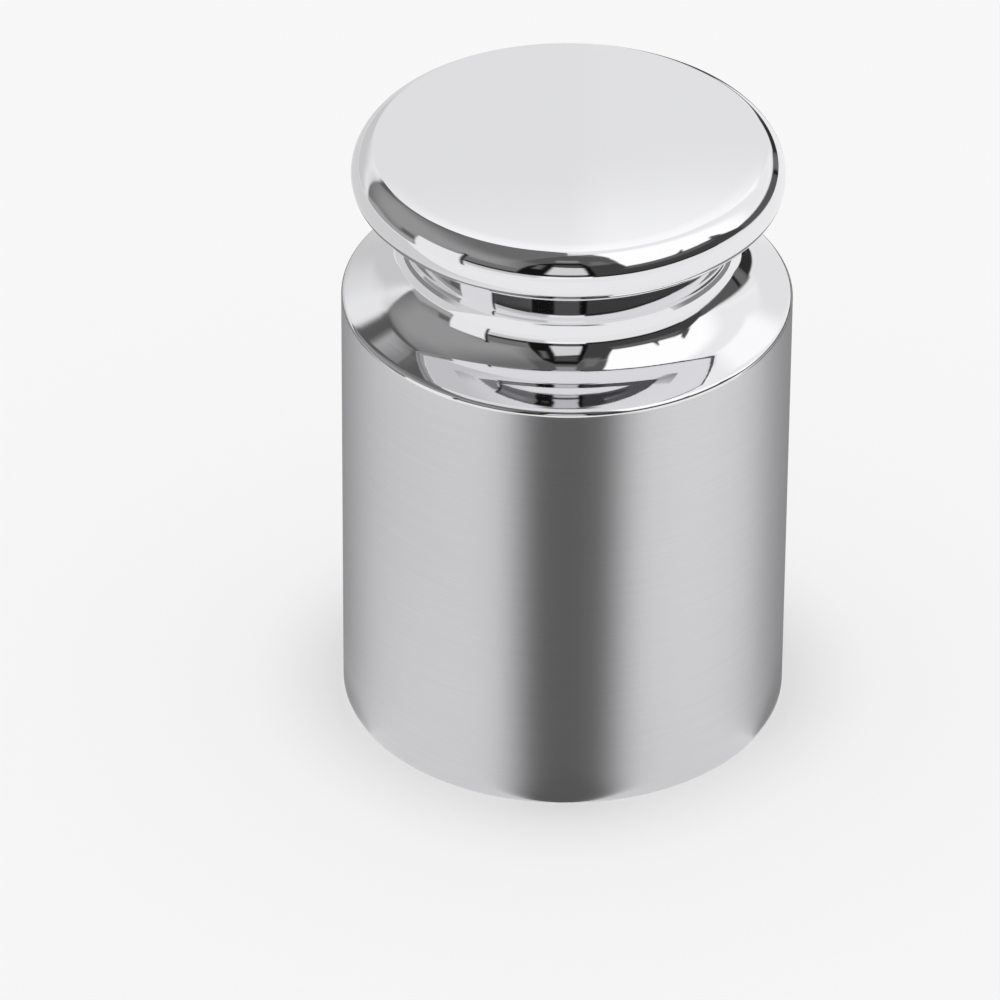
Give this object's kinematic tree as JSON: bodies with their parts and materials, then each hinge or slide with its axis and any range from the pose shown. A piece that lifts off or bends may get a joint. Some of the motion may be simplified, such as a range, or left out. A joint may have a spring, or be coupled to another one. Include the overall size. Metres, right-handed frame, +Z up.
{
  "type": "calibration weight",
  "caption": "Solid turned steel calibration weight: cylindrical body, conical shoulder hollowed into a waisted neck, broad flat knob.",
  "frame": {"origin": "centre of the flat ring that the weight stands on", "axes": "+Z up along the axis of the turned body, towards the knob; the weight looks the same all round"},
  "size_m": [0.0399, 0.0398, 0.0569],
  "materials": {
    "steel": "mirror-polished knob, neck and shoulder; fine satin turning on the cylindrical wall"
  },
  "bodies": {
    "root": {"weight": "steel"}
  },
  "joints": []
}
